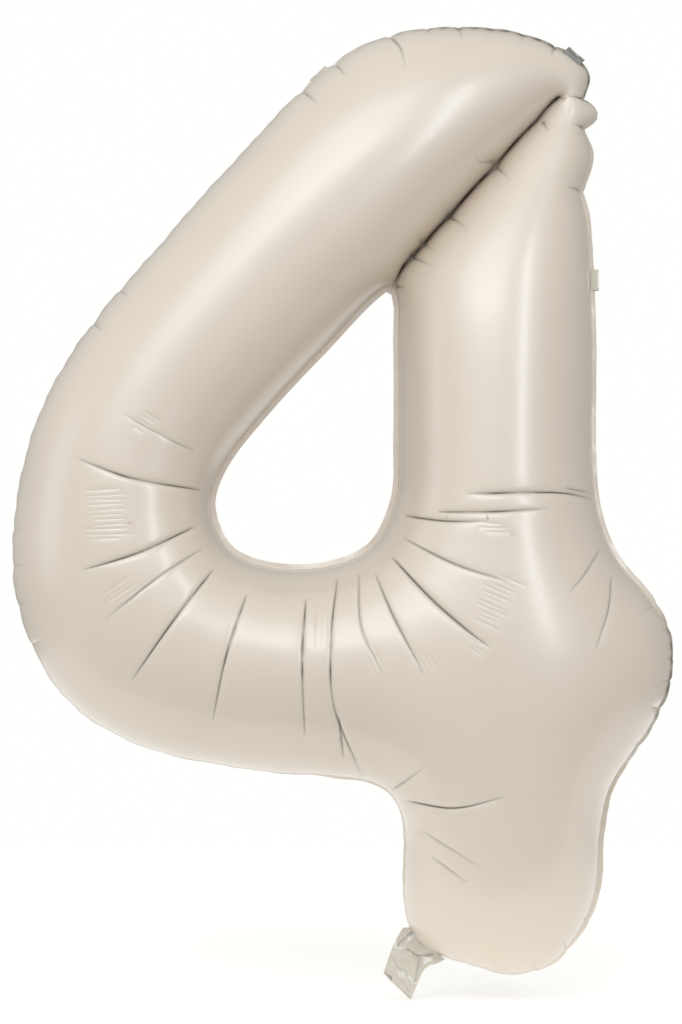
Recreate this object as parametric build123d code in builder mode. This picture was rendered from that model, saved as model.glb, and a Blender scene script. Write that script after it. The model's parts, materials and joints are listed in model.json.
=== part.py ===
"""Foil number balloon, the digit 4, blown up. Millimetres, +Z up, -Y to the viewer.

Two sheets of foil are welded together round the digit and round its counter. The weld lies in the
plane Y = 0, so the front sheet bulges to -Y and the back sheet to +Y. A filling tail with a flat
self-sealing valve leaves the foot, and three hang tabs stand on the weld.

The blown-up digit is two tubes that cross: the stem, and one long tube for the arm, the bend and
the bar. Each is a loft through oval sections, square to its heading and centred in the weld
plane. Near its ends a tube gets shallow before it gets narrow.
"""

import os
from math import cos, radians, sin

from build123d import *

# The films. Each is drawn thicker than the real one, which is 0.03 to 0.05 mm.
foil = 0.6
valve_film = 0.2
weld = 5.5  # width of the flat weld outside the air space

# The stem and the bar, in the digit's own frame, whose origin is where they cross.
# Each section is (x, z, heading, half width, half depth).
stroke = 88.0  # half width of a blown-up stroke
stem = [
    (10.0, -274.0, 90.0, 34.0, 8.0),
    (8.0, -266.0, 90.0, 56.0, 30.0),
    (6.0, -248.0, 90.0, 76.0, 56.0),
    (5.0, -222.0, 90.0, 86.0, 76.0),
    (5.0, -180.0, 90.0, stroke, 86.0),
    (5.0, -110.0, 90.0, stroke, stroke),
    (0.0, 0.0, 90.0, 98.0, 102.0),
    (0.0, 110.0, 90.0, stroke, stroke),
    (0.0, 330.0, 90.0, 86.0, 86.0),
    (2.0, 366.0, 90.0, 84.0, 82.0),
    (17.0, 400.0, 90.0, 69.0, 68.0),
    (39.0, 450.0, 90.0, 47.0, 46.0),
    (60.0, 497.0, 90.0, 26.0, 27.0),
    (72.0, 528.0, 90.0, 14.0, 15.0),
]
bar = [
    (-110.0, 0.0, 0.0, stroke, stroke),
    (0.0, 2.0, 0.0, 95.0, 97.0),
    (72.0, 3.0, 0.0, 92.0, 90.0),
    (110.0, 4.0, 0.0, 86.0, 76.0),
    (132.0, 4.0, 0.0, 72.0, 54.0),
    (147.0, 5.0, 0.0, 52.0, 30.0),
    (155.0, 6.0, 0.0, 34.0, 8.0),
]

# The arm, from its tip down. Each section is (along, across, half width, half depth), measured
# along the arm's heading and across it.
arm_heading = 46.0
arm = [
    (446.0, 342.0, 17.0, 18.0),
    (433.0, 358.0, 35.0, 36.0),
    (403.0, 375.0, 52.0, 54.0),
    (365.0, 393.0, 70.0, 70.0),
    (300.0, 405.0, 82.0, 82.0),
    (120.0, 407.0, 85.0, 86.0),
]

# The bend from the arm into the bar, and the ball of air that joins the arm's tip to the stem's.
bend_radius = 150.0
bend_centre = (-210.0, 150.0)
bend_steps = 6
corner_centre = (62.0, 531.0)
corner_radius = 23.0

# Folds, where a hang tab or the tail leaves the weld.
fold_gap = 1.0  # clearance between the weld's edge and what folds on it
fold_backing = 12.0  # how far the weld behind a fold is drawn straight

# The hang tabs: (x, z, heading) at the middle of each one's fold, and how far it leans back.
tab_width = 19.0
tab_length = 17.0
tab_corner = 2.0
tab_hole_radius = 2.5
tab_hole_reach = 10.0  # from the fold to the middle of the hole
right_tab = (70.1, 564.9, arm_heading)
right_tab_lean = 62.0
left_tab = (-166.8, 543.7, arm_heading + 90.0)
left_tab_lean = 58.0
side_tab = (92.6, 359.0, 0.0)
side_tab_lean = 78.0

# The filling tail and its valve.
tail_fold = (-74.0, -254.0, 228.0)
tail_root_width = 46.0
tail_width = 36.0
tail_flare = 16.0  # the tail narrows to its width over this length
tail_length = 50.0
mouth_step = 3.0  # the front film ends this much short of the back film
valve_width = 24.0
valve_length = 120.0


def heading_of(angle):
    """The unit vector of a heading in the weld plane, in degrees up from +X."""
    return Vector(cos(radians(angle)), 0, sin(radians(angle)))


# The row frame: origin under the middle of the bounding box, in the weld plane.
left_edge = bend_centre[0] - bend_radius - stroke - weld
right_edge = bar[-1][0] + weld
tail_end = Vector(tail_fold[0], 0, tail_fold[1]) + heading_of(tail_fold[2]) * tail_length
shift_x = -(left_edge + right_edge) / 2
shift_z = tail_width / 2 * abs(heading_of(tail_fold[2]).X) - tail_end.Z


def in_row(x, z):
    """A point of the digit's frame, in the row frame."""
    return Vector(x + shift_x, 0, z + shift_z)


def at_fold(fold, lean=0.0):
    """A fold's plane, leaning back by that much: origin at its middle, X away from the digit."""
    x, z, heading = fold
    back = Vector(0, 1, 0)
    away = heading_of(heading)
    turn = radians(lean)
    return Plane(
        origin=in_row(x, z),
        x_dir=away * cos(turn) + back * sin(turn),
        z_dir=away * sin(turn) - back * cos(turn),
    )


def long_tube():
    """The sections of the arm, the bend and the bar, from the arm's tip to the bar's end."""
    sections = []
    for along, across, width, depth in arm:
        centre = heading_of(arm_heading) * along + heading_of(arm_heading + 90) * across
        sections.append((centre.X, centre.Z, arm_heading + 180, width, depth))
    for step in range(bend_steps + 1):
        turn = arm_heading + 90 + (180 - arm_heading) * step / bend_steps
        centre = Vector(bend_centre[0], 0, bend_centre[1]) + heading_of(turn) * bend_radius
        sections.append((centre.X, centre.Z, turn + 90, stroke, stroke))
    return sections + bar


def add_tube(sections, wider):
    """Adds the loft through the sections, grown by that much all round and at both ends."""
    ovals = []
    grow = [-wider] + [0] * (len(sections) - 2) + [wider]
    for (x, z, heading, width, depth), ahead in zip(sections, grow):
        origin = in_row(x, z) + heading_of(heading) * ahead
        with BuildSketch(Plane(origin=origin, x_dir=(0, 1, 0), z_dir=heading_of(heading))) as oval:
            Ellipse(depth + wider, width + wider)
        ovals.append(oval.sketch)
    loft(ovals)


def add_digit(wider=0.0):
    """Adds the whole blown-up digit, grown by that much."""
    add_tube(stem, wider)
    add_tube(long_tube(), wider)
    with Locations(in_row(*corner_centre)):
        Sphere(corner_radius + wider)


def backing(fold, width):
    """The straight edge of the weld behind a fold, as a strip."""
    with BuildSketch(at_fold(fold)) as strip:
        with Locations((-fold_gap, 0)):
            Rectangle(fold_backing, width, align=(Align.MAX, Align.CENTER))
    return strip.sketch


def add_sheet(side):
    """Adds the digit's foil on one side, 1 for the front and -1 for the back, with its half of
    the weld and a bed for the valve's film."""
    add(skin.part)
    split(bisect_by=Plane.XZ, keep=Keep.TOP if side > 0 else Keep.BOTTOM)
    for sketch in welded:
        extrude(sketch, amount=foil, dir=(0, -side, 0))
    add(air.part, mode=Mode.SUBTRACT)
    extrude(valve.sketch, amount=valve_film, dir=(0, -side, 0), mode=Mode.SUBTRACT)


def add_tab(fold, lean):
    """Adds a hang tab, two plies welded flat, with its hole."""
    with BuildSketch(at_fold(fold, lean)) as tab:
        Rectangle(tab_length, tab_width, align=(Align.MIN, Align.CENTER))
        fillet(tab.vertices().group_by(Axis.X)[-1], tab_corner)
        with Locations((tab_hole_reach, 0)):
            Circle(tab_hole_radius, mode=Mode.SUBTRACT)
    extrude(tab.sketch, amount=foil, both=True)


def add_tail_film(length, side):
    """Adds one film of the tail: a flared root at the fold, then straight sides."""
    with BuildSketch(at_fold(tail_fold)) as film:
        with BuildLine():
            Polyline(
                (0, -tail_root_width / 2),
                (tail_flare, -tail_width / 2),
                (length, -tail_width / 2),
                (length, tail_width / 2),
                (tail_flare, tail_width / 2),
                (0, tail_root_width / 2),
                close=True,
            )
        make_face()
    extrude(film.sketch, amount=foil, dir=(0, -side, 0))


os.makedirs("parts", exist_ok=True)

# The skin, the air in it, and the same digit as wide as the weld.
with BuildPart() as skin:
    add_digit()
with BuildPart() as air:
    add_digit(-foil)
with BuildPart() as wide:
    add_digit(weld)

# The weld's flat outline: as wide as the weld all round, with a straight edge behind each fold.
welded = [
    section(wide.part, section_by=Plane.XZ),
    backing(right_tab, tab_width),
    backing(left_tab, tab_width),
    backing(side_tab, tab_width),
    backing(tail_fold, tail_root_width),
]
with BuildSketch(at_fold(tail_fold)) as valve:
    with Locations((-fold_gap, 0)):
        Rectangle(valve_length, valve_width, align=(Align.MAX, Align.CENTER))

# The two sheets of foil.
with BuildPart() as front_foil:
    add_sheet(1)
front_foil.part.label = "front_foil"
export_step(front_foil.part, "parts/front_foil.step")

with BuildPart() as back_foil:
    add_sheet(-1)
back_foil.part.label = "back_foil"
export_step(back_foil.part, "parts/back_foil.step")

# The valve's two films, face to face between the sheets, from the neck into the foot.
with BuildPart() as valve_front_film:
    extrude(valve.sketch, amount=valve_film, dir=(0, -1, 0))
valve_front_film.part.label = "valve_front_film"
export_step(valve_front_film.part, "parts/valve_front_film.step")

with BuildPart() as valve_back_film:
    extrude(valve.sketch, amount=valve_film, dir=(0, 1, 0))
valve_back_film.part.label = "valve_back_film"
export_step(valve_back_film.part, "parts/valve_back_film.step")

# The tail's two films, open at the mouth.
with BuildPart() as tail_front_film:
    add_tail_film(tail_length - mouth_step, 1)
tail_front_film.part.label = "tail_front_film"
export_step(tail_front_film.part, "parts/tail_front_film.step")

with BuildPart() as tail_back_film:
    add_tail_film(tail_length, -1)
tail_back_film.part.label = "tail_back_film"
export_step(tail_back_film.part, "parts/tail_back_film.step")

# The hang tabs.
with BuildPart() as right_hang_tab:
    add_tab(right_tab, right_tab_lean)
right_hang_tab.part.label = "right_hang_tab"
export_step(right_hang_tab.part, "parts/right_hang_tab.step")

with BuildPart() as left_hang_tab:
    add_tab(left_tab, left_tab_lean)
left_hang_tab.part.label = "left_hang_tab"
export_step(left_hang_tab.part, "parts/left_hang_tab.step")

with BuildPart() as side_hang_tab:
    add_tab(side_tab, side_tab_lean)
side_hang_tab.part.label = "side_hang_tab"
export_step(side_hang_tab.part, "parts/side_hang_tab.step")
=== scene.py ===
"""The digit 4 foil balloon, blown up: its looks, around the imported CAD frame.

The air space is an outline in the weld plane. A membrane solved over that outline gives the two
sheets their round tubes, and creases are then pressed into them. Shapes are worked out in
millimetres in the digit's own frame, (x, z) in the weld plane and the depth towards the viewer,
and are turned into metres in the row frame when a mesh is made.
"""

import json
import math

import bpy
import numpy as np
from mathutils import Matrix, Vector
from mathutils.bvhtree import BVHTree
from mathutils.geometry import delaunay_2d_cdt
from mathutils.kdtree import KDTree

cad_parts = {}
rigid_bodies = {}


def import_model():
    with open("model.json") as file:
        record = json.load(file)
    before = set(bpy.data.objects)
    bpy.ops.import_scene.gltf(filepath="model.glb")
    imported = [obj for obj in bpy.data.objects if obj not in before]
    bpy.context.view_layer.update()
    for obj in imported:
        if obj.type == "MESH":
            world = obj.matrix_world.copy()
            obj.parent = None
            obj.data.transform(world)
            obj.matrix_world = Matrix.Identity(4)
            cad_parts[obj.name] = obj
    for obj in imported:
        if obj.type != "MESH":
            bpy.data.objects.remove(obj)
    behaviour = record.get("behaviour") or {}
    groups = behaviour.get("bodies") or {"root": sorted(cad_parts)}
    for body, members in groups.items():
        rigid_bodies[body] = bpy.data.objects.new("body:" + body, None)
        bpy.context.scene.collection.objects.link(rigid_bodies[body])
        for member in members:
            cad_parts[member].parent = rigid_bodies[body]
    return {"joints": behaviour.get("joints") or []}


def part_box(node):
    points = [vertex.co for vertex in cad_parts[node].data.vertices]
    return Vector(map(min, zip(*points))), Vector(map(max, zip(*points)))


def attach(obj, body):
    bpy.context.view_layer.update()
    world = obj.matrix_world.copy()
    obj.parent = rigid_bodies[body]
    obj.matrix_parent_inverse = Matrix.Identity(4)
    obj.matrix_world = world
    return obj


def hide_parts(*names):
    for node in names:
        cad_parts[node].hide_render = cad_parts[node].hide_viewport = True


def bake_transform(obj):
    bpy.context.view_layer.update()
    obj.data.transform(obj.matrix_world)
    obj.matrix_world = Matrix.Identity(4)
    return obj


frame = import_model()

for leftover in [o for o in bpy.data.objects if o.name in ("Cube", "Light", "Camera")]:
    bpy.data.objects.remove(leftover)
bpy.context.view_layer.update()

MM = 0.001
SEED = 4
# Where the digit's origin is in the row frame. The stem and the bar cross there.
SHIFT = np.array([146.5, 303.202])

WELD = 5.5  # width of the flat weld outside the air space
WELD_ROWS = 3  # rows of faces across it
PLY = 0.12  # how far each sheet's weld stands off the weld plane
DEEPEST = 108.0  # no sheet bulges much further than this from the weld plane,
ROUND_OFF = 8  # and the higher this is, the later the bulge is held back

GRID = 3.2  # spacing of the mesh, and of its outline
ROUGH_GRID = 8.0  # spacing of the first mesh, which only finds where the creases go
FINEST = 0.34  # least spacing of the points along creases, before the air comes in
CURVE_STEPS = 24  # straight steps between two points of a smooth curve
OUTLINE_GAP, LATTICE_GAP, PATCH_GAP = 0.6, 0.62, 0.5  # least gaps in a mesh, in its spacings
SAME_POINT = 1e-7  # points of a mesh that are nearer than this are one
SOLVE_STEPS, SOLVE_ERROR = 1500, 1e-14  # when the membrane's solution is good enough
PLACING_STEPS = 6  # steps to find where a place was before the air came in

# The digit's outline, less the weld's width, through these points.
OUTER = [
    (79.5, 546), (76, 526), (87, 511), (76, 498), (83, 473), (75, 440), (80, 414), (85, 313),
    (87, 166), (104, 108), (143, 58), (156, 22), (153, -16), (136, -53), (103, -104),
    (93, -147), (89, -202), (74, -238), (45, -268), (11, -275), (-28, -265), (-66, -250),
    (-80, -222), (-82, -180), (-83, -135), (-103, -105), (-150, -94), (-220, -87),
    (-316, -68), (-386, -30), (-428, 35), (-441, 100), (-428, 200), (-386, 291),
    (-295, 401), (-212, 493), (-168, 538), (-131, 566), (-84, 583), (-32, 587), (13, 583),
    (51, 570.5), (70, 559),
]
COUNTER = [
    (-93, 346), (-91, 300), (-91, 210), (-94, 155), (-119, 110), (-180, 92), (-243, 106),
    (-265, 148), (-254, 188), (-213, 241), (-158, 300), (-106, 352),
]
# The groove between the arm and the stem, from the counter to its blind end. Between these
# puckers the stem's side of it bulges in lobes.
GROOVE = [(-90, 366), (55, 526)]
GROOVE_PUCKERS = [(-79, 380), (-72, 394), (-46, 417), (-4, 463), (39, 503)]
LOBE_HEIGHT, LOBE_FULLNESS = 1.6, 0.6
GROOVE_DARK = 1.0  # the groove gets painted shade this far from its bottom

# How far the outer weld leans back at these places, in degrees, and round the counter.
LEANS = [
    (81, 547, 60), (76, 498, 60), (80, 414, 25), (87, 166, 12), (104, 108, 15), (143, 58, 30),
    (156, 22, 52), (153, -16, 52), (120, -80, 35), (93, -147, 20), (89, -202, 15),
    (45, -268, 60), (-28, -265, 75), (-66, -250, 70), (-83, -135, 75), (-103, -105, 55),
    (-220, -87, 80), (-428, 35, 80), (-386, 291, 84), (-212, 493, 84), (-131, 566, 70),
    (-32, 587, 50), (51, 570, 44), (70, 559, 36),
]
COUNTER_LEAN = 8.0
LEAN_WAVES = [(120, 4), (47, 3), (19, 2)]  # the lean's waves: length, and size in degrees
LEAN_START = 0.55  # share of the lean that the weld has at once where it leaves the air space

# Painted shade on the outer weld at these places, where it is pleated and turned from the light.
WELD_SHADE = [
    (79, 546, 0.9), (76, 526, 0.9), (87, 511, 0.1), (80, 414, 0), (143, 58, 0), (156, 22, 0.9),
    (153, -16, 0.9), (120, -80, 0.2), (89, -202, 0), (-80, -222, 0), (-420, 10, 0.1),
    (-432, 45, 0.8), (-440, 80, 0.2), (-400, 270, 0), (-372, 316, 0.8), (-350, 345, 0.6),
    (-330, 365, 0), (-150, 553, 0), (-90, 582, 0.6), (13, 583, 1.0), (70, 559, 1.0),
]
PLEAT = 14.0  # spacing of the pleats painted into that shade, and the share of it that comes and goes with them
PLEAT_SHARE = 0.22  # and the share of it that comes and goes with them


def heading(angle):
    """The unit vector at that many degrees up from +x."""
    return np.array([math.cos(math.radians(angle)), math.sin(math.radians(angle))])


# Creases pressed into the front sheet, each as its points, its half width and its depth.
# The first kind is a sharp fold in a shallow dip, and dies out at both ends.
CREASE_STEP = 1.2  # spacing of the points along a crease
DIP_WIDTH, DIP_DEPTH = 5.5, 0.42  # of the dip, as shares of the fold's own
FADE_START, FADE_LOSS = 1.15, 0.5  # a crease is this deep at first, and loses this towards its end
CREASES = [
    ([(-271, 165), (-333, 176), (-381, 193)], 0.95, 2.5),
    ([(-276, 132), (-323, 110), (-376, 93)], 0.95, 2.8),
    ([(-270, 112), (-305, 89), (-356, 49)], 0.8, 1.3),
    ([(-259, 94), (-293, 50), (-333, -7)], 0.95, 2.8),
    ([(-229, 72), (-247, 17), (-260, -43)], 0.95, 2.5),
    ([(-176, 68), (-179, 14), (-177, -57)], 0.95, 2.8),
    ([(-148, 86), (-153, 37), (-151, -28), (-126, -93)], 0.95, 2.3),
    ([(-147, -36), (-142, -78)], 0.8, 1.7),
    ([(-129, 91), (-126, 42), (-107, 0)], 0.8, 1.1),
    ([(-114, 90), (-97, 51), (-70, -1)], 0.8, 1.6),
    ([(-99, 105), (-64, 68), (-32, 40), (-11, 24)], 0.95, 2.9),
    ([(-89, 122), (-43, 99), (5, 83)], 0.8, 1.5),
    ([(-87, 142), (-52, 137.5), (-13, 137)], 0.95, 2.3),
    ([(-58, 145.5), (-13, 145.5), (39, 148)], 0.95, 2.3),
    ([(-30, 161.5), (32, 163), (61, 162), (84, 157)], 0.95, 2.8),
    ([(58, 167), (83, 163)], 0.8, 1.1),
    ([(91, 112), (76, 90), (61, 73)], 0.8, 0.9),
    ([(101, 87), (97, 57), (85, 23)], 0.8, 1.1),
    ([(-276, 200), (-300, 211), (-340, 233)], 0.8, 0.9),
    ([(-86, -117), (-44, -121), (2, -110)], 0.95, 2.3),
    ([(-72, -143), (-17, -175)], 0.8, 0.9),
    ([(-63, -166), (-30, -189)], 0.8, 0.9),
]
# The second kind is a pucker, also a fold in a dip. It starts deep at the weld, which it notches,
# and dies out inwards. Each has its points and its depth.
PUCKER_FOLD, PUCKER_DIP = (1.05, 0.65), (5.0, 0.5)  # half width, and share of the depth
PUCKER_FADE = 1.3
PUCKERS = [
    ([(-183, 534), (-163, 512)], 3.5),
    ([(-153, 560), (-138, 538)], 3.5),
    ([(-100, 584), (-90, 566), (-86, 544)], 3.5),
    ([(-66, 590), (-62, 580)], 2.0),
    ([(-36, 593), (-34, 576)], 3.0),
    ([(-5, 591), (-6, 580)], 2.0),
    ([(24, 586), (20, 574)], 2.5),
    ([(53, 576), (47, 560)], 4.0),
    ([(79, 525), (66, 526), (52, 528)], 3.5),
    ([(78, 498), (66, 500)], 3.0),
    ([(77, 440), (60, 441)], 3.5),
    ([(-97, -107), (-63, -78)], 2.5),
    ([(148, 62), (130, 54)], 2.5),
    ([(161, 40), (146, 35)], 3.0),
    ([(162, 12), (148, 10)], 2.5),
    ([(160, -10), (146, -8)], 3.0),
    ([(150, -36), (136, -30)], 2.5),
    ([(130, -70), (118, -62)], 2.0),
    ([(-372, 319), (-360, 309)], 2.5),
    ([(-348, 350), (-337, 340)], 2.5),
    ([(-446, 130), (-434, 128)], 1.2),
    ([(-446, 96), (-432, 97)], 1.6),
    ([(-440, 60), (-427, 64)], 1.6),
    ([(-428, 24), (-415, 30)], 1.6),
    ([(66, -258), (56, -244)], 2.5),
    ([(84, -230), (72, -224)], 2.0),
    ([(34, -279), (30, -264)], 2.0),
    ([(-79, 379), (-58, 366)], 2.2),
    ([(-71, 393), (-60, 383)], 1.8),
    ([(-45, 416), (-28, 400)], 2.4),
    ([(-3, 462), (10, 446)], 2.4),
    ([(40, 502), (45, 492)], 2.5),
    ([(-5, 465), (-18, 464), (-24, 478)], 1.5),
    ([(-94, 352), (-84, 350)], 2.5),
    ([(-96, 333), (-86, 332)], 2.0),
]
FOLD_WIDEST = 1.1  # a crease no wider than this is a fold, and gets painted shade along its bottom, this far to each side, and fully where it is this deep
FOLD_DARK, FOLD_FULL = 0.7, 1.8  # this far to each side, and fully where it is this deep
ROWS_BESIDE = (0, 0.5, -0.5, 1.1, -1.1)  # where rows of the mesh follow a crease, in half widths
CREASE_REACH = 4  # how far a crease reaches to each side, in half widths
SHALLOWEST = 0.05  # no crease comes nearer than this to the weld plane

# The third kind is a fine ripple. They come in bundles: middle, heading, length, spacing and how
# many.
RIPPLES = [
    ((-356, 143), 2, 46, 4.4, 11),
    ((-340, 73), 33, 42, 4.2, 5),
    ((-6, 66), -24, 34, 4.4, 11),
    ((-71, 14), -58, 26, 4.2, 4),
    ((-115, 14), -66, 24, 4.2, 3),
    ((-6, 131), -3, 26, 3.6, 3),
    ((-321, 226), -33, 20, 4.0, 5),
    ((-161, 43), 88, 52, 4.6, 3),
    ((-24, 27), -35, 22, 3.6, 4),
]
RIPPLE_WIDTH, RIPPLE_DEPTH = 1.2, 0.75
RIPPLE_STEP = 1.5  # spacing of the points along a ripple


def along(points, step, closed=False):
    """Points that far apart along the smooth curve through these points."""
    p = np.array(points, float)
    before, after = np.roll(p, 1, 0), np.roll(p, -1, 0)
    if not closed:
        before[0], after[-1] = 2 * p[0] - p[1], 2 * p[-1] - p[-2]
    reach = np.linalg.norm(after - p, axis=1) + np.linalg.norm(p - before, axis=1)
    slope = (after - before) / reach[:, None]
    fine = []
    for i in range(len(p) if closed else len(p) - 1):
        a, b = p[i], p[(i + 1) % len(p)]
        span = np.linalg.norm(b - a)
        t = np.linspace(0, 1, CURVE_STEPS, endpoint=False)[:, None]
        fine.append(
            (2 * t**3 - 3 * t**2 + 1) * a
            + (t**3 - 2 * t**2 + t) * span * slope[i]
            + (3 * t**2 - 2 * t**3) * b
            + (t**3 - t**2) * span * slope[(i + 1) % len(p)]
        )
    fine = np.concatenate(fine + [p[:1] if closed else p[-1:]])
    run = np.concatenate([[0], np.cumsum(np.linalg.norm(np.diff(fine, axis=0), axis=1))])
    count = max(2, round(run[-1] / step))
    ask = np.linspace(0, run[-1], count + 1)
    ask = ask[:-1] if closed else ask
    return np.stack([np.interp(ask, run, fine[:, k]) for k in (0, 1)], 1)


def inside(loop, points):
    """Which points are inside a closed loop."""
    found = np.zeros(len(points), bool)
    for (x0, z0), (x1, z1) in zip(loop, np.roll(loop, -1, 0)):
        if z0 != z1:
            level = (points[:, 1] > z0) != (points[:, 1] > z1)
            found ^= level & (points[:, 0] < (x1 - x0) * (points[:, 1] - z0) / (z1 - z0) + x0)
    return found


def tree_of(points):
    """A search tree of points in the weld plane."""
    tree = KDTree(len(points))
    for i, (x, z) in enumerate(points):
        tree.insert((x, z, 0), i)
    tree.balance()
    return tree


def clear_of(others, points, gap):
    """Which points are at least that far from all the others."""
    tree = tree_of(others)
    return np.array([tree.find((x, z, 0))[2] >= gap for x, z in points], bool)


def thinned(points, gap):
    """The points that have no earlier one within that gap."""
    if not len(points):
        return points
    tree = tree_of(points)
    near = [tree.find_range((x, z, 0), gap) for x, z in points]
    return points[[all(j >= i for _, j, _ in found) for i, found in enumerate(near)]]


def outwards(loop, sign):
    """The unit vectors square to a closed loop, out of the foil."""
    run = np.roll(loop, -1, 0) - np.roll(loop, 1, 0)
    side = np.stack([run[:, 1], -run[:, 0]], 1) * sign
    return side / np.linalg.norm(side, axis=1)[:, None]


def winding(loop):
    """1 if a closed loop goes round anticlockwise, else -1."""
    x, z = loop.T
    return 1 if np.sum(x * np.roll(z, -1) - z * np.roll(x, -1)) > 0 else -1


def length_of(loop):
    """How long a closed loop is."""
    return np.linalg.norm(np.roll(loop, -1, 0) - loop, axis=1).sum()


def share_of(loop):
    """How far round a closed loop each of its points is, from 0 to 1."""
    return np.arange(len(loop)) / len(loop)


def filled_in(loop, places):
    """Values given at some places, as (x, z, value), filled in all along a closed loop."""
    nearest = [int(np.argmin(np.linalg.norm(loop - (x, z), axis=1))) for x, z, _ in places]
    values = [value for _, _, value in places]
    return np.interp(share_of(loop), share_of(loop)[nearest], values, period=1)


def weld_leans(loop, outer):
    """How far the weld leans back all along a loop, in radians, with its uneven waves."""
    rng = np.random.default_rng(SEED + 1)
    lean = filled_in(loop, LEANS) if outer else np.full(len(loop), COUNTER_LEAN)
    for length, size in LEAN_WAVES:
        turns = round(length_of(loop) / length)
        lean += size * np.sin(2 * math.pi * (share_of(loop) * turns + rng.uniform()))
    return np.radians(lean)


def weld_shade(loop):
    """The painted shade of the outer weld all along a loop, with uneven painted pleats."""
    s = share_of(loop)
    turns = round(length_of(loop) / PLEAT)
    pleats = np.sin(2 * math.pi * turns * s + 3 * np.sin(9 * math.pi * s))
    return filled_in(loop, WELD_SHADE) * (1 - PLEAT_SHARE + PLEAT_SHARE * pleats)


def outer_weld(step):
    """The outer edge of the air space, which reaches further out where the weld leans back."""
    loop = along(OUTER, step, closed=True)
    lean = weld_leans(loop, True)
    return loop + outwards(loop, winding(loop)) * (WELD * (1 - np.cos(lean)))[:, None]


def groove_line(step):
    """The groove between the arm and the stem, with the lobes on the stem's side."""
    line = along(GROOVE, step)
    direction = (line[-1] - line[0]) / np.linalg.norm(line[-1] - line[0])
    across = np.array([-direction[1], direction[0]])
    run = (line - line[0]) @ direction
    ends = [0.0] + [(np.array(p) - line[0]) @ direction for p in GROOVE_PUCKERS] + [run[-1]]
    for start, end in zip(ends, ends[1:]):
        part = (run > start) & (run < end)
        bulge = np.sin(math.pi * (run[part] - start) / (end - start)) ** LOBE_FULLNESS
        line[part] += across * (LOBE_HEIGHT * bulge)[:, None]
    return line


def ring_edges(start, count):
    """The edges of a closed ring of so many points, numbered from start."""
    return [(start + i, start + (i + 1) % count) for i in range(count)]


def fill(points, edges, loop, hole):
    """Fills the space inside a loop and outside a hole with triangles that turn anticlockwise and
    keep these edges. Gives the points and the faces."""
    done = delaunay_2d_cdt([Vector(p) for p in points], edges, [], 0, SAME_POINT)
    points, faces = np.array([tuple(v) for v in done[0]]), np.array(done[2])
    middle = points[faces].mean(1)
    faces = faces[inside(loop, middle) & ~inside(hole, middle)]
    side = points[faces[:, 1:]] - points[faces[:, :1]]
    turned = side[:, 0, 0] * side[:, 1, 1] - side[:, 0, 1] * side[:, 1, 0] < 0
    faces[turned] = faces[turned][:, ::-1]
    return points, faces


def triangulate(grid, extra):
    """The air space as triangles: its points, its faces, and how many points are on the outer
    weld, round the counter and along the groove, which come first, in that order."""
    outer = outer_weld(grid)
    counter = along(COUNTER, grid, closed=True)
    groove = groove_line(grid)
    joined = int(np.argmin(np.linalg.norm(counter - groove[0], axis=1)))
    if np.linalg.norm(counter[joined] - groove[0]) < 2 * grid:
        groove = groove[1:]
    fixed = np.concatenate([outer, counter, groove])
    extra = extra[inside(outer, extra) & ~inside(counter, extra)]
    extra = thinned(extra[clear_of(fixed, extra, OUTLINE_GAP * grid)], FINEST)
    lattice = []
    for i, z in enumerate(np.arange(outer[:, 1].min(), outer[:, 1].max(), grid * math.sqrt(3) / 2)):
        x = np.arange(outer[:, 0].min() + (i % 2) * grid / 2, outer[:, 0].max(), grid)
        lattice.append(np.stack([x, np.full(len(x), z)], 1))
    lattice = np.concatenate(lattice)
    lattice = lattice[inside(outer, lattice) & ~inside(counter, lattice)]
    lattice = lattice[clear_of(np.concatenate([fixed, extra]), lattice, LATTICE_GAP * grid)]
    a, b, c = len(outer), len(counter), len(groove)
    edges = ring_edges(0, a) + ring_edges(a, b) + [(a + joined, a + b)]
    edges += [(a + b + i, a + b + i + 1) for i in range(c - 1)]
    points, faces = fill(np.concatenate([fixed, extra, lattice]), edges, outer, counter)
    return points, faces, (a, b, c)


def membrane(points, faces, fixed):
    """Solves the membrane whose curvature is -1 and which is held at the fixed points. Half its
    square is the depth of a round tube. Gives its height and its slope at every point."""
    n = len(points)
    corner = points[faces]
    side = [corner[:, (k + 2) % 3] - corner[:, (k + 1) % 3] for k in range(3)]
    area = 0.5 * abs(side[0][:, 0] * side[1][:, 1] - side[0][:, 1] * side[1][:, 0])
    area = np.maximum(area, 1e-6)
    rows, columns, weights = [], [], []
    for k in range(3):
        i, j = faces[:, (k + 1) % 3], faces[:, (k + 2) % 3]
        w = -(side[(k + 1) % 3] * side[(k + 2) % 3]).sum(1) / (4 * area)
        rows += [i, j]
        columns += [j, i]
        weights += [w, w]
    rows, columns, weights = (np.concatenate(x) for x in (rows, columns, weights))
    total = np.bincount(rows, weights, n)
    load = np.bincount(faces.ravel(), np.repeat(area / 3, 3), n)
    free = np.ones(n)
    free[:fixed] = 0
    height, scale = np.zeros(n), free / np.maximum(total, 1e-9)

    def stiff(x):
        return free * (total * x - np.bincount(rows, weights * x[columns], n))

    left = free * load
    step = scale * left
    power = left @ step
    for _ in range(SOLVE_STEPS):
        pull = stiff(step)
        size = power / (step @ pull)
        height += size * step
        left -= size * pull
        fresh = scale * left
        again = left @ fresh
        if again < SOLVE_ERROR * (load @ load):
            break
        step = fresh + again / power * step
        power = again
    slope = np.zeros((n, 2))
    for k in range(3):
        normal = np.stack([-side[k][:, 1], side[k][:, 0]], 1) / (2 * area[:, None])
        slope_part = normal * height[faces[:, k]][:, None] * area[:, None]
        for m in range(3):
            for axis in (0, 1):
                slope[:, axis] += np.bincount(faces[:, m], slope_part[:, axis], n)
    share = np.bincount(faces.ravel(), np.repeat(area, 3), n)
    return height, slope / share[:, None]


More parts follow.
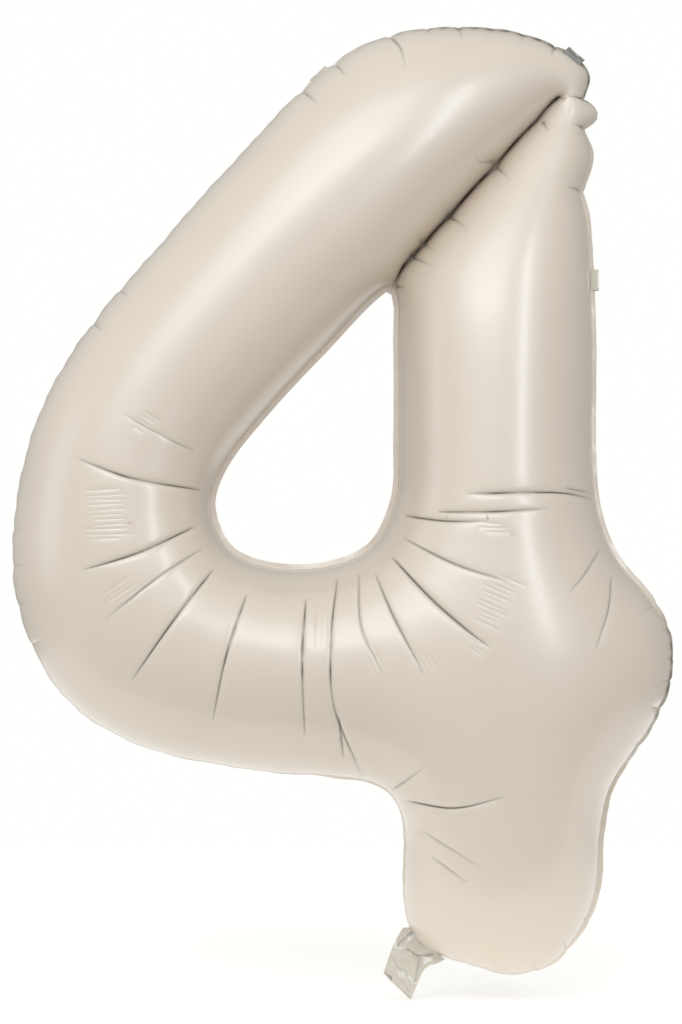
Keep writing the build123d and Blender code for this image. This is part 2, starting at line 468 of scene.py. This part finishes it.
def inflate(points, faces, fixed):
    """Where the foil's points go when the air comes in: (x, z, depth)."""
    height, slope = membrane(points, faces, fixed)
    steep = np.linalg.norm(slope, axis=1)
    radius = np.sqrt(2 * height + steep**2) + 1e-9
    turn = 0.5 * math.pi * np.clip(steep / radius, 0, 1)
    move = (radius * np.sin(turn) - steep) / (steep + 1e-9)
    depth = radius * np.cos(turn) / (1 + (radius / DEEPEST) ** ROUND_OFF) ** (1 / ROUND_OFF)
    move[:fixed], depth[:fixed] = 0, 0
    return np.column_stack([points - slope * move[:, None], depth])


def normals(points, faces):
    """The unit normal at every point of a mesh."""
    corner = points[faces]
    face = np.cross(corner[:, 1] - corner[:, 0], corner[:, 2] - corner[:, 0])
    out = np.stack(
        [np.bincount(faces.ravel(), np.repeat(face[:, k], 3), len(points)) for k in range(3)], 1
    )
    return out / (np.linalg.norm(out, axis=1)[:, None] + 1e-12)


def ripple_lines():
    """Each bundle's ripples as creases, uneven in place and length."""
    rng = np.random.default_rng(SEED)
    lines = []
    for middle, angle, length, spacing, count in RIPPLES:
        for i in range(count):
            off = (i - (count - 1) / 2) * spacing + rng.uniform(-0.5, 0.5)
            centre = np.array(middle) + heading(angle + 90) * off
            centre = centre + heading(angle) * rng.uniform(-4, 4)
            half = heading(angle + rng.uniform(-1.5, 1.5)) * length * rng.uniform(0.3, 0.5)
            depth = RIPPLE_DEPTH * rng.uniform(0.6, 1.0)
            lines.append(([centre - half, centre + half], RIPPLE_WIDTH, depth))
    return lines


def all_creases():
    """Every crease as (points along it, half width, depth along it)."""
    found = []
    for points, width, depth in CREASES:
        line = along(points, CREASE_STEP)
        t = np.linspace(0, 1, len(line))
        fade = np.sqrt(np.sin(math.pi * t).clip(0)) * (FADE_START - FADE_LOSS * t)
        found.append((line, width, depth * fade))
        found.append((line, width * DIP_WIDTH, depth * DIP_DEPTH * fade))
    for points, width, depth in ripple_lines():
        line = along(points, RIPPLE_STEP)
        t = np.linspace(0, 1, len(line))
        found.append((line, width, depth * np.sqrt(np.sin(math.pi * t).clip(0))))
    for points, depth in PUCKERS:
        line = along(points, CREASE_STEP)
        t = np.linspace(0, 1, len(line))
        for width, share in (PUCKER_FOLD, PUCKER_DIP):
            found.append((line, width, share * depth * (1 - t) ** PUCKER_FADE))
    return found


def crease_rows(creases):
    """Points on each crease and beside it, so that the mesh follows it. The outermost rows have
    every second point."""
    rows = []
    for line, width, _ in creases:
        run = np.gradient(line, axis=0)
        run /= np.linalg.norm(run, axis=1)[:, None]
        across = np.stack([-run[:, 1], run[:, 0]], 1)
        for off in ROWS_BESIDE:
            first, stride = (1 if off else 0), (1 if abs(off) < 1 else 2)
            rows.append((line + across * off * width)[first::stride])
    return np.concatenate(rows)


def before_inflation(wanted, points, faces, shape):
    """The places on the flat grid that the air moves to the wanted places."""
    flat = [(x, z, 0) for x, z in points]
    tree = BVHTree.FromPolygons(flat, faces.tolist())
    move = shape[:, :2] - points
    place = wanted.copy()
    for _ in range(PLACING_STEPS):
        for i, (x, z) in enumerate(place):
            hit, _, face, _ = tree.find_nearest((x, z, 0))
            a, b, c = faces[face]
            u, v = points[b] - points[a], points[c] - points[a]
            r = np.array([hit.x, hit.y]) - points[a]
            area = u[0] * v[1] - u[1] * v[0]
            s = (r[0] * v[1] - r[1] * v[0]) / area
            t = (u[0] * r[1] - u[1] * r[0]) / area
            shift = move[a] * (1 - s - t) + move[b] * s + move[c] * t
            place[i] = wanted[i] - shift
    return place


def press(shape, faces, creases):
    """Presses the creases into the sheet, along its normals. Gives the points, and the painted
    shade at each of them, dark along the bottoms of the narrow creases."""
    tree = tree_of(shape[:, :2])
    sink, painted_shade = np.zeros(len(shape)), np.zeros(len(shape))
    for line, width, depth in creases:
        reach = CREASE_REACH * width
        near = {}
        for (x, z), d in zip(line, depth):
            for _, i, away in tree.find_range((x, z, 0), reach):
                value = d * (math.exp(-away / width) - math.exp(-reach / width))
                if value > near.get(i, 0):
                    near[i] = value
                # Painted shade along the bottom of a narrow crease.
                if width <= FOLD_WIDEST and away < 3 * FOLD_DARK:
                    dark = min(d / FOLD_FULL, 1) * math.exp(-((away / FOLD_DARK) ** 2))
                    painted_shade[i] = max(painted_shade[i], dark)
        for i, value in near.items():
            sink[i] += value
    pressed = shape - normals(shape, faces) * sink[:, None]
    pressed[:, 2] = np.where(shape[:, 2] > 0, pressed[:, 2].clip(SHALLOWEST), 0)
    return pressed, painted_shade


def build_front():
    """The front sheet: its points (x, z, depth), their painted shade, dark in the creases and along
    the groove, its faces, and how many points are on the outer weld, round the counter and along
    the groove."""
    creases = all_creases()
    points, faces, counts = triangulate(ROUGH_GRID, np.zeros((0, 2)))
    shape = inflate(points, faces, sum(counts))
    rows = before_inflation(crease_rows(creases), points, faces, shape)
    points, faces, counts = triangulate(GRID, rows)
    shape, painted_shade = press(inflate(points, faces, sum(counts)), faces, creases)
    # Painted shade along the groove, where the arm's tube and the stem's tube meet.
    groove = tree_of(points[counts[0] + counts[1] : sum(counts)])
    away = np.array([groove.find((x, z, 0))[2] for x, z in shape[:, :2]])
    return shape, np.maximum(painted_shade, np.exp(-((away / GROOVE_DARK) ** 2))), faces, counts


def weld_strip(loop, outer, side_sign):
    """The flat weld outside a closed loop: rows of (x, z, depth), further out and further back."""
    side = outwards(loop, side_sign)
    lean = weld_leans(loop, outer)
    rows = []
    for k in range(1, WELD_ROWS + 1):
        out = WELD * k / WELD_ROWS
        bend = lean * (LEAN_START + (1 - LEAN_START) * k / WELD_ROWS)
        flat = loop + side * (out * np.cos(bend))[:, None]
        rows.append(np.column_stack([flat, -out * np.sin(bend)]))
    return rows


def add_object(name, points, polygons):
    """A smooth object from points in millimetres."""
    mesh = bpy.data.meshes.new(name)
    mesh.from_pydata((points * MM).tolist(), [], polygons)
    mesh.shade_smooth()
    piece = bpy.data.objects.new(name, mesh)
    bpy.context.collection.objects.link(piece)
    return piece


def set_painted_shade(piece, painted_shade):
    """Stores at every point of an object its painted shade: how dark it is drawn for being creased
    or turned from the light.
    """
    tint = piece.data.attributes.new("painted_shade", "FLOAT", "POINT")
    tint.data.foreach_set("value", np.clip(painted_shade, 0, 1).astype(np.float32))


def sheet_mesh(name, shape, painted_shade, faces, counts, front):
    """One sheet of foil with its ply of the weld, front or back, as an object."""
    points, painted_shades, quads = [shape], [painted_shade], []
    start, total = 0, len(shape)
    for count, outer in zip(counts, (True, False)):
        loop = shape[start : start + count, :2]
        sign = winding(loop) * (1 if outer else -1)
        below = start + np.arange(count)
        for row in weld_strip(loop, outer, sign):
            points.append(row if front else row * (1, 1, -1))
            # Painted shade on the outer weld; none on the weld round the counter.
            painted_shades.append(weld_shade(loop) if outer else np.zeros(count))
            above = total + np.arange(count)
            ring = np.stack([below, np.roll(below, -1), np.roll(above, -1), above], 1)
            quads += (ring if sign > 0 else ring[:, ::-1]).tolist()
            below, total = above, total + count
        start += count
    points = np.concatenate(points)
    place = np.column_stack([points[:, 0] + SHIFT[0], -points[:, 2] - PLY, points[:, 1] + SHIFT[1]])
    polygons = faces[:, ::-1].tolist() + quads
    if front:
        polygons = [p[::-1] for p in polygons]
    else:
        place[:, 1] *= -1
    piece = add_object(name, place, polygons)
    set_painted_shade(piece, np.concatenate(painted_shades))
    return piece


HOLE_SIDES = 32  # a round hole has this many sides


def patch(outline, hole, step):
    """A flat piece of film as points (u, v) and triangles, with a round hole if hole is given as
    (u, v, radius)."""
    outline = np.array(outline, float)
    rim = []
    for a, b in zip(outline, np.roll(outline, -1, 0)):
        count = max(1, round(np.linalg.norm(b - a) / step))
        rim += [a + (b - a) * k / count for k in range(count)]
    rim = np.array(rim)
    edges = ring_edges(0, len(rim))
    ring = np.zeros((0, 2))
    if hole:
        turns = np.arange(HOLE_SIDES) / HOLE_SIDES * 2 * math.pi
        ring = np.stack([hole[0] + hole[2] * np.cos(turns), hole[1] + hole[2] * np.sin(turns)], 1)
        edges += ring_edges(len(rim), HOLE_SIDES)
    low, high = rim.min(0), rim.max(0)
    u, v = np.meshgrid(np.arange(low[0], high[0], step), np.arange(low[1], high[1], step))
    grid = np.stack([u.ravel(), v.ravel()], 1)
    grid = grid[inside(rim, grid) & ~inside(ring, grid)]
    fixed = np.concatenate([rim, ring])
    grid = grid[clear_of(fixed, grid, PATCH_GAP * step)]
    return fill(np.concatenate([fixed, grid]), edges, rim, ring)


def fold_frame(joint_name, node):
    """A fold's middle in millimetres, the direction away from the digit and the direction along
    the fold, from its joint and from the CAD piece that turns on it."""
    joint = next(j for j in frame["joints"] if j["name"] == joint_name)
    middle = np.array(joint["pos_m"]) / MM
    across = np.array(joint["axis"])
    low, high = (np.array(v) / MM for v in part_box(node))
    away = (low + high) / 2 - middle
    away -= across * (away @ across)
    return middle, away / np.linalg.norm(away), across


FILM_SHARP = 50  # edges of a film that turn by more degrees than this are sharp


def film_piece(name, points, faces, lift, middle, away, across, thickness):
    """A piece of film as an object: its points lifted off their plane towards the viewer, with a
    real thickness. Its root, where u is negative, stays in the plane of the weld."""
    up = np.cross(away, across)
    up *= -1 if up[1] > 0 else 1
    level = away * (1, 0, 1)
    level /= np.linalg.norm(level)
    place = middle + points[:, :1].clip(0) * away + points[:, :1].clip(None, 0) * level
    place = place + points[:, 1:] * across + lift[:, None] * up
    normal = normals(place, faces)
    count = len(place)
    edges = {}
    for a, b, c in faces.tolist():
        for edge in ((a, b), (b, c), (c, a)):
            edges[edge] = edges.get(edge[::-1], 0) + 1
            if edge[::-1] in edges:
                del edges[edge], edges[edge[::-1]]
    solid = np.concatenate([place + normal * thickness / 2, place - normal * thickness / 2])
    polygons = faces.tolist() + (faces[:, ::-1] + count).tolist()
    polygons += [(b, a, a + count, b + count) for a, b in edges]
    piece = add_object(name, solid, polygons)
    piece.data.set_sharp_from_angle(angle=math.radians(FILM_SHARP))
    return piece


def zigzag(x):
    """A wave of straight ramps between -1 and 1, with slightly rounded corners."""
    return np.arcsin(0.97 * np.sin(x)) / math.asin(0.97)


# The tail's outline from its root on the left, round its mouth, to its root on the right.
TAIL_LEFT = [(-8, -17), (-4, -21), (1, -20.5), (14, -17.5), (26, -12.5)]
TAIL_RIGHT = [(17.6, 20.2), (11, 18.8), (5, 20.2), (0, 24), (-8, 27)]
FRONT_MOUTH = [(37.5, -7.2), (36.8, 1.5), (39.6, 4), (39.2, 27.6)]  # the cut edge has a step
BACK_MOUTH = [(39.5, -6.4), (40.2, 3), (40.8, 28.2)]
TAIL_THICK, TAIL_STEP = 0.12, 0.8  # thickness, and spacing of the mesh
# Folds in the tail: points (u, v) and height, where it was gathered at the neck and pressed flat.
TAIL_FOLDS = [
    ([(-7, -12), (2, -13.5), (10, -14)], -2.2),
    ([(8, -5), (7, 2), (5, 8), (-4, 15)], -2.4),
    ([(3, -9), (12, -7), (24, 1)], 1.8),
    ([(8, 0), (16, 5), (30, 9)], 1.6),
    ([(6, 9), (14, 13), (26, 20)], -1.5),
    ([(0, 19), (9, 16), (17, 17)], 1.6),
    ([(22, -10), (26, -2), (25, 8)], -1.0),
    ([(28, -6), (31, 4), (30, 16)], 1.2),
    ([(18, -12), (12, -16)], 1.2),
    ([(33, 10), (36, 22)], -0.8),
]
TAIL_SLOPE = 2.2  # half width of a fold
# Its gentle crumples: height, turns along u and v in radians a millimetre, and phase. They grow
# from the neck over this length.
TAIL_CRUMPLES = [(0.8, 0.16, 0.10, 0.4), (0.4, 0.33, 0.24, 0.0), (0.25, 0.5, -0.55, 0.0)]
TAIL_GROWTH = 8
TAIL_BELLY, BELLY_MIDDLE, BELLY_HALF = 1.2, 4, 24  # how far the two films stand apart, and where


def make_tail(front_side):
    """One film of the tail, crumpled where it was gathered and flattened."""
    outline = TAIL_LEFT + (FRONT_MOUTH if front_side else BACK_MOUTH) + TAIL_RIGHT
    points, faces = patch(outline, None, TAIL_STEP)
    u, v = points.T
    lift = sum(high * zigzag(a * u + b * v + phase) for high, a, b, phase in TAIL_CRUMPLES)
    lift *= np.clip(u / TAIL_GROWTH, 0, 1)
    painted_shade = np.zeros(len(points))
    for line, height in TAIL_FOLDS:
        line = along(line, TAIL_STEP)
        away = np.min(np.linalg.norm(points[:, None] - line[None], axis=2), axis=1)
        lift += height * np.exp(-away / TAIL_SLOPE)
        # Valley creases in the tail get painted shade along their bottoms.
        if height < 0:
            painted_shade = np.maximum(painted_shade, -height / 4 * np.exp(-((away / FOLD_DARK) ** 2)))
    belly = TAIL_BELLY * (1 - (v - BELLY_MIDDLE) ** 2 / BELLY_HALF**2).clip(0)
    lift += belly if front_side else -belly
    name = "tail_front" if front_side else "tail_back"
    middle, away, across = fold_frame("tail_fold", name + "_film")
    across = across if across[0] > 0 else -across
    piece = film_piece(name + "_foil", points, faces, lift, middle, away, across, TAIL_THICK)
    set_painted_shade(piece, np.tile(painted_shade, 2))
    piece.data.materials.append(tail_foil)
    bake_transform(piece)
    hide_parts(name + "_film")


TAB_ROOT, TAB_LENGTH = -7.0, 17.0  # from inside the weld, past the fold at 0, to the outer end
TAB_WIDTH, TAB_CORNER = 19.0, 2.0
TAB_HOLE = (10.0, 0.0, 2.5)
TAB_THICK, TAB_STEP = 0.25, 0.9


def make_tab(name, joint_name, phase, curl, slide, shade):
    """A hang tab: two plies of foil welded flat, a little bent, with its punched hole. It curls
    back by that much and sits that far up along its fold. Shade is painted shade over the whole
    tab, darker for a tab turned from the light."""
    half = TAB_WIDTH / 2
    corner = np.array((TAB_LENGTH - TAB_CORNER, half - TAB_CORNER))
    outline = [(TAB_ROOT, -half)]
    for side, turns in ((-1, np.linspace(-90, 0, 7)), (1, np.linspace(0, 90, 7))):
        outline += [tuple(corner * (1, side) + TAB_CORNER * heading(turn)) for turn in turns]
    outline += [(TAB_ROOT, half)]
    points, faces = patch(outline, TAB_HOLE, TAB_STEP)
    u, v = points.T
    lift = 0.5 * np.sin(0.22 * u + 0.12 * v + phase) + 0.35 * zigzag(0.3 * v - 0.2 * u + 2 * phase)
    lift = lift * np.clip(u / 4, 0, 1) - curl * u.clip(0) ** 2
    middle, away, across = fold_frame(joint_name, name)
    points[:, 1] += slide * (1 if across[2] > 0 else -1)
    piece = film_piece(name + "_foil", points, faces, lift, middle, away, across, TAB_THICK)
    set_painted_shade(piece, np.full(len(piece.data.vertices), shade))
    piece.data.materials.append(tab_foil)
    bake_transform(piece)
    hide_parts(name)


VALVE_WIDTH, VALVE_LENGTH = 24.0, 120.0
VALVE_THICK, VALVE_STEP = 0.06, 2.0
VALVE_END = -1.0  # the valve ends this far inside the tail's fold
VALVE_APART = 0.08  # how far each film stands off the weld plane


def make_valve(front_side):
    """One film of the self-sealing valve, hanging in the foot from the neck."""
    half = VALVE_WIDTH / 2
    low, high = VALVE_END - VALVE_LENGTH, VALVE_END
    outline = [(low, -half), (high, -half), (high, half), (low, half)]
    points, faces = patch(outline, None, VALVE_STEP)
    u, v = points.T
    free = np.clip((-u - 10) / 60, 0, 1)  # the film is held at the neck and hangs free further in
    lift = free * (1.2 * np.sin(0.055 * u) + 0.5 * np.sin(0.21 * v + 0.06 * u))
    lift += VALVE_APART if front_side else -VALVE_APART
    name = "valve_front_film" if front_side else "valve_back_film"
    middle, away, across = fold_frame("tail_fold", "tail_back_film")
    piece = film_piece(name + "_sheet", points, faces, lift, middle, away, across, VALVE_THICK)
    piece.data.materials.append(valve_plastic)
    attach(piece, "balloon")
    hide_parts(name)


FOLD_SHADE = (0.06, 0.052, 0.034, 1)  # foil deep in a fold, where little light comes
CREAM = (0.70, 0.60, 0.49)


def new_material(name):
    """A material with its nodes, its links and its shader."""
    material = bpy.data.materials.new(name)
    material.use_nodes = True
    tree = material.node_tree
    return material, tree.nodes, tree.links, tree.nodes["Principled BSDF"]


def add_noise(nodes, links, scale, detail):
    """Noise of that scale that stays with the object."""
    place = nodes.new("ShaderNodeTexCoord")
    noise = nodes.new("ShaderNodeTexNoise")
    noise.inputs["Scale"].default_value = scale
    noise.inputs["Detail"].default_value = detail
    links.new(place.outputs["Object"], noise.inputs["Vector"])
    return noise.outputs["Fac"]


def set_gloss(nodes, links, shader, noise, low, high):
    """Spreads the shader's roughness between these by the noise."""
    gloss = nodes.new("ShaderNodeMapRange")
    gloss.inputs["To Min"].default_value = low
    gloss.inputs["To Max"].default_value = high
    links.new(noise, gloss.inputs["Value"])
    links.new(gloss.outputs["Result"], shader.inputs["Roughness"])


def film_material():
    """Clear soft polythene, a little cloudy."""
    material, nodes, links, shader = new_material("valve_polythene")
    shader.inputs["Transmission Weight"].default_value = 0.6
    shader.inputs["Base Color"].default_value = (0.86, 0.88, 0.88, 1)
    set_gloss(nodes, links, shader, add_noise(nodes, links, 60, 2), 0.18, 0.38)
    return material


def foil_material(name, colour, roughness):
    """Pearl foil: a clear coat over the colour, darkened by painted shade wherever its points carry
    it, as in its creases, and a faint crinkle.
    """
    material, nodes, links, shader = new_material(name)
    shader.inputs["Metallic"].default_value = 0.05
    shader.inputs["IOR"].default_value = 1.7
    shader.inputs["Coat Weight"].default_value = 1.0
    shader.inputs["Coat Roughness"].default_value = 0.24
    cloud = add_noise(nodes, links, 9, 3)
    tint = nodes.new("ShaderNodeValToRGB")
    tint.color_ramp.elements[0].position = 0.3
    tint.color_ramp.elements[1].position = 0.7
    tint.color_ramp.elements[0].color = (*[c * 0.96 for c in colour], 1)
    tint.color_ramp.elements[1].color = (*colour, 1)
    links.new(cloud, tint.inputs["Fac"])
    # Each point's painted shade mixes the colour towards the dark FOLD_SHADE.
    fold = nodes.new("ShaderNodeAttribute")
    fold.attribute_name = "painted_shade"
    shade = nodes.new("ShaderNodeMix")
    shade.data_type = "RGBA"
    links.new(fold.outputs["Fac"], shade.inputs["Factor"])
    links.new(tint.outputs["Color"], shade.inputs["A"])
    shade.inputs["B"].default_value = FOLD_SHADE
    links.new(shade.outputs["Result"], shader.inputs["Base Color"])
    set_gloss(nodes, links, shader, cloud, roughness - 0.03, roughness + 0.04)
    bump = nodes.new("ShaderNodeBump")
    bump.inputs["Strength"].default_value = 0.05
    bump.inputs["Distance"].default_value = 0.002
    links.new(add_noise(nodes, links, 160, 4), bump.inputs["Height"])
    links.new(bump.outputs["Normal"], shader.inputs["Normal"])
    return material


MIDDLE = (0.0, 0.0, 0.5)  # what the lights aim at
SKY = (0.8, 0.9, 1.0)


def area_light(name, place, aim, size, watts):
    """A soft rectangular light of the sky's colour at place, turned to aim."""
    data = bpy.data.lights.new(name, "AREA")
    data.shape = "RECTANGLE"
    data.size, data.size_y = size
    data.energy = watts
    data.color = SKY
    light = bpy.data.objects.new(name, data)
    light.location = place
    light.rotation_euler = (Vector(aim) - Vector(place)).to_track_quat("-Z", "Y").to_euler()
    bpy.context.collection.objects.link(light)


def around(azimuth, elevation, distance):
    """A place at that distance from the middle, at that many degrees to the right of the viewer
    and above the middle."""
    a, e = math.radians(azimuth), math.radians(elevation)
    x, y, z = math.sin(a) * math.cos(e), -math.cos(a) * math.cos(e), math.sin(e)
    return (MIDDLE[0] + x * distance, MIDDLE[1] + y * distance, MIDDLE[2] + z * distance)


def paper_floor():
    """White paper under the object and behind it, which glows a little so that it stays white."""
    bpy.ops.mesh.primitive_grid_add(x_subdivisions=8, y_subdivisions=8, size=1.8)
    floor = bpy.context.active_object
    floor.name = "floor"
    floor.location = (0, 0.7, -0.002)
    paper, _, _, shader = new_material("paper")
    shader.inputs["Base Color"].default_value = (0.82, 0.82, 0.81, 1)
    shader.inputs["Roughness"].default_value = 0.95
    shader.inputs["Emission Color"].default_value = (1, 1, 0.98, 1)
    shader.inputs["Emission Strength"].default_value = 0.4
    floor.data.materials.append(paper)


def surround():
    """A pale surround that is brightest high on the left in front, and plain white where the
    camera sees it."""
    scene = bpy.context.scene
    world = scene.world or bpy.data.worlds.new("studio")
    scene.world = world
    world.use_nodes = True
    nodes, links = world.node_tree.nodes, world.node_tree.links
    toward = nodes.new("ShaderNodeTexCoord")
    dot = nodes.new("ShaderNodeVectorMath")
    dot.operation = "DOT_PRODUCT"
    dot.inputs[1].default_value = (-0.42, -0.55, 0.72)
    links.new(toward.outputs["Generated"], dot.inputs[0])
    ramp = nodes.new("ShaderNodeMapRange")
    ramp.interpolation_type = "SMOOTHSTEP"
    ramp.inputs["From Min"].default_value = -0.6
    ramp.inputs["From Max"].default_value = 1.0
    ramp.inputs["To Min"].default_value = 0.42
    ramp.inputs["To Max"].default_value = 0.84
    links.new(dot.outputs["Value"], ramp.inputs["Value"])
    seen = nodes.new("ShaderNodeLightPath")
    pale = nodes.new("ShaderNodeMix")
    links.new(seen.outputs["Is Camera Ray"], pale.inputs["Factor"])
    links.new(ramp.outputs["Result"], pale.inputs["A"])
    pale.inputs["B"].default_value = 1.0
    links.new(pale.outputs["Result"], nodes["Background"].inputs["Strength"])
    nodes["Background"].inputs["Color"].default_value = (1, 1, 0.985, 1)


CAMERA_AWAY, VIEW_HEIGHT = 3.4, 0.942  # distance, and the height of the view at the object


def front_camera():
    """A camera straight in front, which sees all of the object."""
    data = bpy.data.cameras.new("camera")
    camera = bpy.data.objects.new("camera", data)
    bpy.context.collection.objects.link(camera)
    camera.location = (0.0021, -CAMERA_AWAY, 0.4486)
    camera.rotation_euler = (math.pi / 2, 0, 0)
    data.sensor_fit = "VERTICAL"
    data.angle = 2 * math.atan(VIEW_HEIGHT / 2 / CAMERA_AWAY)
    bpy.context.scene.camera = camera
    bpy.context.scene.view_settings.view_transform = "Standard"


foil = foil_material("pearl_foil", CREAM, 0.40)
# The tail and the tabs are darker copies of the same pearl foil: painted shade.
tail_foil = foil_material("tail_pearl_foil", (0.55, 0.5, 0.41), 0.28)
tab_foil = foil_material("tab_pearl_foil", (0.62, 0.55, 0.45), 0.28)
valve_plastic = film_material()

shape, painted_shade, faces, counts = build_front()
for name, front_side in (("front", True), ("back", False)):
    piece = sheet_mesh(name + "_sheet", shape, painted_shade, faces, counts, front_side)
    piece.data.materials.append(foil)
    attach(piece, "balloon")
    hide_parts(name + "_foil")
make_tail(True)
make_tail(False)
# The right tab leans back from the light, so it carries heavy painted shade.
make_tab("right_hang_tab", "right_tab_fold", 0.3, curl=0.006, slide=0.0, shade=0.85)
make_tab("left_hang_tab", "left_tab_fold", 1.9, curl=0.014, slide=5.0, shade=0.1)
make_tab("side_hang_tab", "side_tab_fold", 3.1, curl=0.03, slide=0.0, shade=0.0)
make_valve(True)
make_valve(False)

paper_floor()
surround()
area_light("front_softbox", around(-16, 33, 2.5), MIDDLE, (2.0, 1.4), 16)
area_light("left_fill", around(-78, 6, 2.2), MIDDLE, (0.9, 1.2), 3)
area_light("side_strip", (1.12, -1.7, 1.12), (0, 0, 0.8), (0.2, 1.3), 8)
area_light("top_strip", around(-6, 24, 2.4), MIDDLE, (1.5, 0.4), 4)
front_camera()
